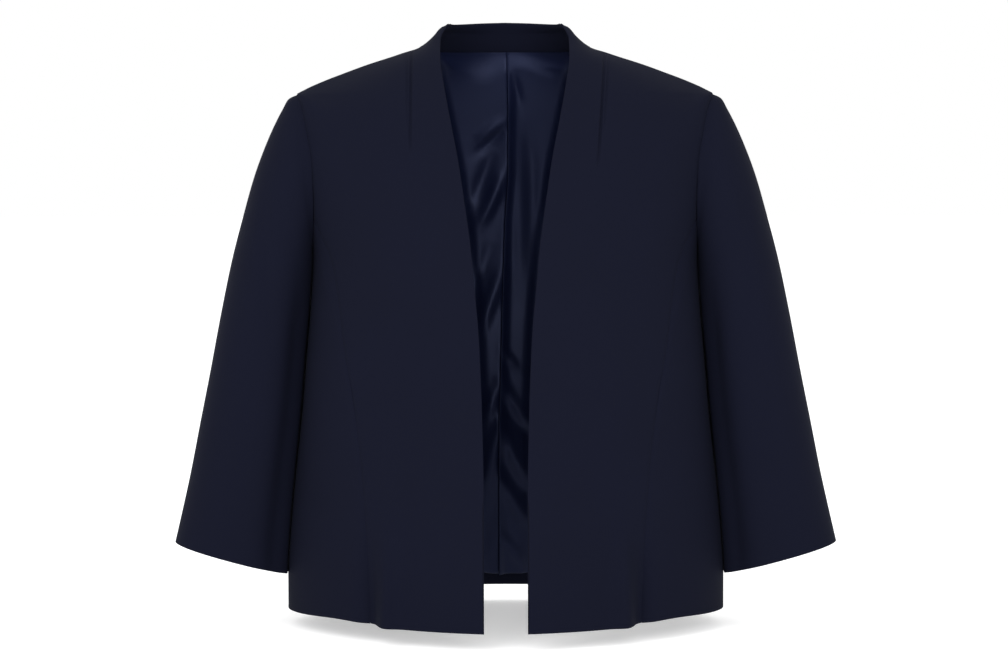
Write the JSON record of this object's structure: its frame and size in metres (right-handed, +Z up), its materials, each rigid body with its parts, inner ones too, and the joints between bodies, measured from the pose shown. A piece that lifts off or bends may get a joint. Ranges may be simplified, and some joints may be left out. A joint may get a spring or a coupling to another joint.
{
  "type": "open-front blazer",
  "caption": "Hollow open-front blazer with a stand neck, panelled fronts, flared three-quarter sleeves and a satin back lining.",
  "frame": {"origin": "midway between the two neck points, level with the foot of the collar, in the upright plane of the shoulder and side seams", "axes": "+Z up, -Y towards the open front, +X towards the wearer's left"},
  "size_m": [0.663, 0.2921, 0.5884],
  "materials": {
    "shell": "matt dark navy crepe suiting",
    "satin": "glossy navy satin lining"
  },
  "bodies": {
    "root": {"front_right": "shell", "front_left": "shell", "side_front_right": "shell", "side_front_left": "shell", "back": "shell", "back_collar": "shell", "neck_facing": "shell", "lining_right": "satin", "lining_left": "satin", "hem_turnup": "shell", "sleeve_right": "shell", "sleeve_left": "shell"}
  },
  "joints": []
}
